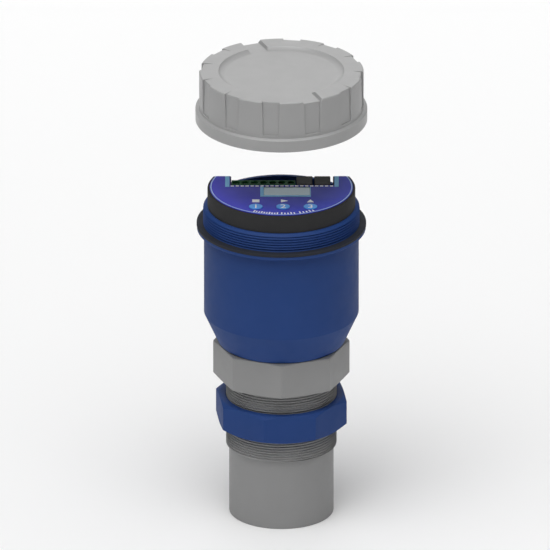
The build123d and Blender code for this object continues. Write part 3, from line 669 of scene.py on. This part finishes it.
def white_patches(sizes):
    """White dashes along the bay, a sign above each key, and three groups of ticks round the front."""
    low, high = ink_heights(sizes)
    marks = []
    start = sizes.bar_left + 1.5 * sizes.bar_width
    end = sizes.bar_right - 1.5 * sizes.bar_width
    count = int((end - start) / sizes.dash_pitch) + 1
    first = (start + end - (count - 1) * sizes.dash_pitch) / 2
    dash_back = sizes.dash_front + sizes.dash_height
    for dash in range(count):
        left = first + dash * sizes.dash_pitch - sizes.dash_width / 2
        marks.append(box_mark(left, left + sizes.dash_width, sizes.dash_front, dash_back, low, high))
    half = sizes.sign_size / 2
    line = sizes.sign_line
    left, middle, right = (sum(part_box(node), Vector()).x / 2 for node in KEY_NODES)
    middle += sizes.play_shift
    marks.append(box_mark(left - half, left + half, line - half, line + half, low, high))
    marks.append(arrow_mark(np.array((middle, line)), half, 0, low, high))
    marks.append(arrow_mark(np.array((right, line)), half, TURN / 4, low, high))
    half_tick = sizes.tick_height / 2
    for first_bearing, last_bearing, ticks in TICK_GROUPS:
        for tick, bearing in enumerate(np.radians(np.linspace(first_bearing, last_bearing, ticks))):
            # Every third tick is longer inwards
            inner = sizes.scale_radius - (half_tick if tick % 3 == 0 else half_tick / 2)
            outer = sizes.scale_radius + half_tick
            marks.append(tick_mark(bearing, inner, outer, sizes.tick_width, low, high))
    return marks


def add_node(tree, kind, inputs=None, **settings):
    """A shader node with its settings, and its inputs set to values or linked to other nodes' outputs."""
    node = tree.nodes.new(kind)
    for name, value in settings.items():
        setattr(node, name, value)
    for name, value in (inputs or {}).items():
        if isinstance(value, bpy.types.NodeSocket):
            tree.links.new(value, node.inputs[name])
        else:
            node.inputs[name].default_value = value
    return node


def new_material(name):
    """Empty node material with its shader and its coordinates."""
    material = bpy.data.materials.new(name)
    material.use_nodes = True
    tree = material.node_tree
    tree.nodes.clear()
    shader = add_node(tree, "ShaderNodeBsdfPrincipled")
    output = add_node(tree, "ShaderNodeOutputMaterial")
    tree.links.new(shader.outputs["BSDF"], output.inputs["Surface"])
    place = add_node(tree, "ShaderNodeTexCoord").outputs["Object"]
    return material, tree, shader, place


def noise(tree, place, size, detail=2.0):
    """Noise whose lumps have the given size in metres."""
    node = add_node(tree, "ShaderNodeTexNoise", {"Vector": place, "Scale": 1 / size, "Detail": detail})
    return node.outputs["Fac"]


def spread(tree, value, low, high):
    """A value from 0.3 to 0.7, as noise gives it, mapped to the range from low to high."""
    node = add_node(
        tree,
        "ShaderNodeMapRange",
        {"Value": value, "From Min": 0.3, "From Max": 0.7, "To Min": low, "To Max": high},
    )
    return node.outputs["Result"]


def way_along(tree, place, axis, low, high):
    """Share of the way along an axis, 0 up to the low end and 1 from the high end on."""
    along = add_node(tree, "ShaderNodeSeparateXYZ", {"Vector": place}).outputs[axis]
    node = add_node(tree, "ShaderNodeMapRange", {"Value": along, "From Min": low, "From Max": high})
    return node.outputs["Result"]


def blend_colours(tree, share, first, second):
    """Mix of two colours, each a value or an output, by a share. Of the node's sockets, 0 takes the share,
    6 and 7 take the colours, and output 2 gives their mix."""
    node = add_node(tree, "ShaderNodeMix", data_type="RGBA")
    for socket, value in ((0, share), (6, first), (7, second)):
        if isinstance(value, bpy.types.NodeSocket):
            tree.links.new(value, node.inputs[socket])
        else:
            node.inputs[socket].default_value = value
    return node.outputs[2]


def shade(rgb, factor):
    """A colour made darker or lighter."""
    return tuple(min(1.0, channel * factor) for channel in rgb) + (1.0,)


def surface(name, roughness=0.45, grain=0.35 * MM, relief=0.004 * MM, specular=0.5, metallic=0.0):
    """Material that still lacks its colour, with uneven gloss and a fine grain."""
    material, tree, shader, place = new_material(name)
    unevenness = 0.05
    gloss_clouds = noise(tree, place, 6 * MM, 4)
    gloss = spread(tree, gloss_clouds, roughness - unevenness, roughness + unevenness)
    tree.links.new(gloss, shader.inputs["Roughness"])
    bump = add_node(
        tree, "ShaderNodeBump", {"Height": noise(tree, place, grain), "Strength": 1.0, "Distance": relief}
    )
    tree.links.new(bump.outputs["Normal"], shader.inputs["Normal"])
    shader.inputs["Specular IOR Level"].default_value = specular
    shader.inputs["Metallic"].default_value = metallic
    return material, tree, shader, place


def moulded(name, rgb, cloud=0.04, cloud_size=18 * MM, **finish):
    """Moulded or cast surface: slow clouds in its colour."""
    material, tree, shader, place = surface(name, **finish)
    clouds = spread(tree, noise(tree, place, cloud_size, 3), 0, 1)
    base = blend_colours(tree, clouds, shade(rgb, 1 - cloud), shade(rgb, 1 + cloud))
    tree.links.new(base, shader.inputs["Base Color"])
    return material


def film(name, left, right):
    """Printed film: its colour runs from the left edge to halfway right of the middle, a painted falloff
    of light from the lit left to the shaded right, under faint clouds."""
    material, tree, shader, place = surface(
        name, roughness=0.38, grain=0.25 * MM, relief=0.002 * MM, specular=0.05
    )
    # Painted light: the colour darkens from the lit left edge towards the shaded right
    share = way_along(tree, place, "X", FILM_LOW.x, 0.5 * FILM_HIGH.x)
    wide = blend_colours(tree, share, shade(left, 1), shade(right, 1))
    cloudy = spread(tree, noise(tree, place, 12 * MM, 3), 0, 0.08)
    base = blend_colours(tree, cloudy, wide, shade(right, 0.8))
    tree.links.new(base, shader.inputs["Base Color"])
    return material


def circuit_board(name, resist, copper):
    """Circuit board: tracks show as lighter lines under the resist."""
    material, tree, shader, place = surface(name, roughness=0.3, relief=0.002 * MM)
    bricks = add_node(
        tree,
        "ShaderNodeTexBrick",
        {
            "Vector": place, "Color1": shade(resist, 1), "Color2": shade(resist, 0.85),
            "Mortar": shade(copper, 1), "Scale": 1 / (10 * MM), "Mortar Size": 0.035,
            "Mortar Smooth": 0.1, "Brick Width": 0.6, "Row Height": 0.22,
        },
    )
    tree.links.new(bricks.outputs["Color"], shader.inputs["Base Color"])
    return material


def display(name, rgb):
    """Liquid crystal cell: a pale field with a very fine grid, under clear glass."""
    material, tree, shader, place = surface(name, roughness=0.2, relief=0.0, specular=0.3)
    grid = add_node(
        tree,
        "ShaderNodeTexBrick",
        {
            "Vector": place, "Color1": shade(rgb, 1.02), "Color2": shade(rgb, 0.99),
            "Mortar": shade(rgb, 0.9), "Scale": 1 / (5 * MM), "Mortar Size": 0.008,
            "Mortar Smooth": 0.3, "Brick Width": 0.12, "Row Height": 0.12,
        },
        offset=0.0,
    )
    tree.links.new(grid.outputs["Color"], shader.inputs["Base Color"])
    shader.inputs["Coat Weight"].default_value = 0.3
    shader.inputs["Coat Roughness"].default_value = 0.05
    return material


# What each moulded or cast finish has of its own
FINISHES = {
    "blue_plastic": dict(roughness=0.6, cloud=0.03, specular=0.18),
    "grey_plastic": dict(roughness=0.5, cloud=0.02, specular=0.35),
    "cap_plastic": dict(roughness=0.38, cloud=0.015, specular=0.55),
    "black_rubber": dict(roughness=0.7, relief=0.006 * MM, specular=0.3),
    "black_plastic": dict(roughness=0.7, grain=0.25 * MM, specular=0.1),
    "relay_plastic": dict(roughness=0.5, specular=0.05),
    "key_plastic": dict(roughness=0.3, relief=0.002 * MM, specular=0.15),
    "terminal_plastic": dict(roughness=0.6, specular=0.06),
    "plated_steel": dict(roughness=0.3, metallic=1.0),
    "spacer_brass": dict(roughness=0.3, metallic=1.0),
    "ferrite": dict(roughness=0.6, grain=0.15 * MM, relief=0.01 * MM),
    "capacitor_sleeve": dict(roughness=0.3),
    "sensing_epoxy": dict(roughness=0.55, cloud=0.08, cloud_size=1 * MM),
    "cast_resin": dict(roughness=0.2),
    "foam": dict(roughness=0.9, grain=0.6 * MM, relief=0.05 * MM),
    "piezo_ceramic": dict(roughness=0.6),
    "lead_sheath": dict(roughness=0.55),
    "plug_plastic": dict(roughness=0.4),
    "gland_plastic": dict(roughness=0.5, grain=0.3 * MM),
    "outline_print": dict(roughness=0.4, specular=0.2),
    "pale_print": dict(roughness=0.4, specular=0.1),
    "white_print": dict(roughness=0.3, cloud=0.01, specular=1.0),
}


def all_materials(colours):
    """Every finish by its name, which for a CAD node is the name of its slot in the record."""
    materials = {name: moulded(name, getattr(colours, name), **own) for name, own in FINISHES.items()}
    materials["panel_film"] = film("panel_film", colours.film_left, colours.film_right)
    materials["display_glass"] = display("display_glass", colours.display_glass)
    materials["circuit_board"] = circuit_board("circuit_board", colours.circuit_board, colours.copper)
    return materials


def put_on(piece, material):
    """Gives an object its finish, on the object's own slot, so that a CAD node's mesh stays as it is."""
    if not piece.material_slots:
        piece.data.materials.append(None)
    for slot in piece.material_slots:
        slot.link = "OBJECT"
        slot.material = material


def aim(piece, ray):
    """Turns a lamp or the camera to look along a ray."""
    piece.rotation_mode = "QUATERNION"
    piece.rotation_quaternion = ray.to_track_quat("-Z", "Y")


class SensorOperator:
    """What the sensor's operators share: each is one undo step in the 3D view."""

    bl_options = {"REGISTER", "UNDO"}


class LEVELSENSOR_OT_fitting(SensorOperator, bpy.types.Operator):
    """Turn the grey fitting with its tube, helical thread, octagon and spigot"""

    bl_idname = "level_sensor.fitting"
    bl_label = "Screw-in fitting"

    def execute(self, context):
        patches = fitting_patches(context.scene.sensor_fitting)
        build_piece("fitting_body", patches, "root", ("process_fitting",))
        return {"FINISHED"}


class LEVELSENSOR_OT_lock_nut(SensorOperator, bpy.types.Operator):
    """Turn the blue lock nut with its thread"""

    bl_idname = "level_sensor.lock_nut"
    bl_label = "Lock nut"

    def execute(self, context):
        patches = nut_patches(context.scene.sensor_fitting)
        build_piece("nut_body", patches, "lock_nut", ("lock_nut",))
        return {"FINISHED"}


class LEVELSENSOR_OT_cap(SensorOperator, bpy.types.Operator):
    """Build the screw cap with its grip grooves, spanner slots and threaded bore"""

    bl_idname = "level_sensor.cap"
    bl_label = "Screw cap"

    def execute(self, context):
        sizes = context.scene.sensor_cap
        build_piece("cap_shell", [cap_patch(sizes)], "cap", ("cap",), crease=30)
        return {"FINISHED"}


class LEVELSENSOR_OT_panel(SensorOperator, bpy.types.Operator):
    """Print the outline, the pale fields and the white signs on the display module"""

    bl_idname = "level_sensor.panel"
    bl_label = "Panel print"

    def execute(self, context):
        sizes = context.scene.sensor_panel
        build_piece("panel_outline", [outline_patch(sizes)], "root")
        build_piece("panel_pale_fields", pale_patches(sizes), "root")
        build_piece("panel_white_marks", white_patches(sizes), "root")
        return {"FINISHED"}


class LEVELSENSOR_OT_key_figures(SensorOperator, bpy.types.Operator):
    """Print a plain number on each key"""

    bl_idname = "level_sensor.key_figures"
    bl_label = "Key figures"

    def execute(self, context):
        sizes = context.scene.sensor_panel
        for number, node in enumerate(KEY_NODES, start=1):
            low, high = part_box(node)
            text = bpy.data.curves.new(f"{node}_figure", "FONT")
            text.body = str(number)
            text.extrude = sizes.ink
            writing = bpy.data.objects.new(f"{node}_writing", text)
            mesh = bpy.data.meshes.new_from_object(writing)
            bpy.data.objects.remove(writing)
            points = np.empty(3 * len(mesh.vertices))
            mesh.vertices.foreach_get("co", points)
            points = points.reshape(-1, 3)
            box_low, box_high = points.min(0), points.max(0)
            size = sizes.figure_height / (box_high[1] - box_low[1])
            points[:, :2] = (points[:, :2] - (box_low + box_high)[:2] / 2) * size
            points += ((low.x + high.x) / 2, (low.y + high.y) / 2, high.z)
            mesh.vertices.foreach_set("co", points.ravel())
            mesh.update()
            mesh.name = f"{node}_figure"
            piece = add_object(f"{node}_figure", mesh)
            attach(piece, node)
        return {"FINISHED"}


class LEVELSENSOR_OT_finishes(SensorOperator, bpy.types.Operator):
    """Give every piece its finish"""

    bl_idname = "level_sensor.finishes"
    bl_label = "Finishes"

    def execute(self, context):
        materials = all_materials(context.scene.sensor_colours)
        for node, piece in frame["nodes"].items():
            put_on(piece, materials[slot_of_node[node]])
        own_finish = {f"{node}_figure": "white_print" for node in KEY_NODES}
        own_finish.update(
            fitting_body="grey_plastic",
            nut_body="blue_plastic",
            cap_shell="cap_plastic",
            panel_outline="outline_print",
            panel_pale_fields="pale_print",
            panel_white_marks="white_print",
        )
        for name, finish in own_finish.items():
            put_on(bpy.data.objects[name], materials[finish])
        return {"FINISHED"}


class LEVELSENSOR_OT_stage(SensorOperator, bpy.types.Operator):
    """Lay the pale floor, set the soft light and aim the camera"""

    bl_idname = "level_sensor.stage"
    bl_label = "Stage"

    def execute(self, context):
        sizes = context.scene.sensor_stage
        self.lay_floor(sizes)
        self.light(context, sizes)
        self.aim_camera(context, sizes)
        context.scene.view_settings.view_transform = "Standard"
        return {"FINISHED"}

    def lay_floor(self, sizes):
        """Pale floor, a hair below the tube's end, that grows lighter towards the back, a painted falloff
        of light in its colour.
        """
        reach = 3.0
        drop = 0.02 * MM
        corners = np.array(((-reach, -reach), (reach, -reach), (-reach, reach), (reach, reach)))
        points = np.hstack((corners, np.full((4, 1), -drop)))
        mesh = bpy.data.meshes.new("floor")
        mesh.from_pydata(points.tolist(), [], [(0, 1, 3, 2)])
        floor = add_object("floor", mesh)
        material, tree, shader, place = new_material("pale_floor")
        # Painted light: the floor's colour grows lighter from the fade's start to its end
        share = way_along(tree, place, "Y", sizes.fade_start, sizes.fade_end)
        near = shade((1, 1, 1), sizes.floor_near)
        far = shade((1, 1, 1), sizes.floor_far)
        tree.links.new(blend_colours(tree, share, near, far), shader.inputs["Base Color"])
        shader.inputs["Roughness"].default_value = 1.0
        shader.inputs["Specular IOR Level"].default_value = 0.0
        mesh.materials.append(material)

    def light(self, context, sizes):
        """Six wide and very soft lamps, as large panels round a table would be, in a dark room."""
        world = bpy.data.worlds.new("dark_room")
        world.use_nodes = True
        world.node_tree.nodes["Background"].inputs["Color"].default_value = (0, 0, 0, 1)
        context.scene.world = world
        for name, place in LAMP_PLACES.items():
            bearing, height = np.radians(place)
            lamp = bpy.data.lights.new(name, "SUN")
            lamp.energy = getattr(sizes, name)
            lamp.angle = sizes.softness
            holder = add_object(name, lamp)
            level = np.cos(height)
            ray = Vector((np.sin(bearing) * level, np.cos(bearing) * level, -np.sin(height)))
            aim(holder, ray)

    def aim_camera(self, context, sizes):
        """Parallel view from the front, from above by the elevation."""
        distance = 1.5
        data = bpy.data.cameras.new("camera")
        data.type = "ORTHO"
        data.ortho_scale = sizes.frame_width
        data.clip_start = 0.01
        data.clip_end = 10
        camera = add_object("camera", data)
        sight = Vector((0, np.cos(sizes.elevation), -np.sin(sizes.elevation)))
        camera.location = Vector((sizes.aim_side, 0, sizes.aim_height)) - distance * sight
        aim(camera, sight)
        context.scene.camera = camera


class LEVELSENSOR_PT_panel(bpy.types.Panel):
    """Lists the sensor's operators and sizes"""

    bl_label = "Water level sensor"
    bl_idname = "LEVELSENSOR_PT_panel"
    bl_space_type = "VIEW_3D"
    bl_region_type = "UI"
    bl_category = "Level sensor"

    def draw(self, context):
        column = self.layout.column()
        for operator in OPERATORS:
            column.operator(operator.bl_idname)
        for group, place in GROUPS.items():
            column.label(text=group.__doc__)
            for name in group.__annotations__:
                column.prop(getattr(context.scene, place), name)


GROUPS = {
    FittingSizes: "sensor_fitting",
    CapSizes: "sensor_cap",
    PanelSizes: "sensor_panel",
    Colours: "sensor_colours",
    StageSizes: "sensor_stage",
}
OPERATORS = (
    LEVELSENSOR_OT_fitting,
    LEVELSENSOR_OT_lock_nut,
    LEVELSENSOR_OT_cap,
    LEVELSENSOR_OT_panel,
    LEVELSENSOR_OT_key_figures,
    LEVELSENSOR_OT_finishes,
    LEVELSENSOR_OT_stage,
)


def register():
    """Registers the classes and gives the scene its groups of sizes."""
    for part in (*GROUPS, *OPERATORS, LEVELSENSOR_PT_panel):
        bpy.utils.register_class(part)
    for group, name in GROUPS.items():
        setattr(bpy.types.Scene, name, PointerProperty(type=group))


def unregister():
    """Takes away what register adds."""
    for name in GROUPS.values():
        delattr(bpy.types.Scene, name)
    for part in (LEVELSENSOR_PT_panel, *reversed(OPERATORS), *GROUPS):
        bpy.utils.unregister_class(part)


def main():
    register()
    bpy.ops.level_sensor.fitting()
    bpy.ops.level_sensor.lock_nut()
    bpy.ops.level_sensor.cap()
    bpy.ops.level_sensor.panel()
    bpy.ops.level_sensor.key_figures()
    bpy.ops.level_sensor.finishes()
    bpy.ops.level_sensor.stage()


if __name__ == "__main__":
    main()
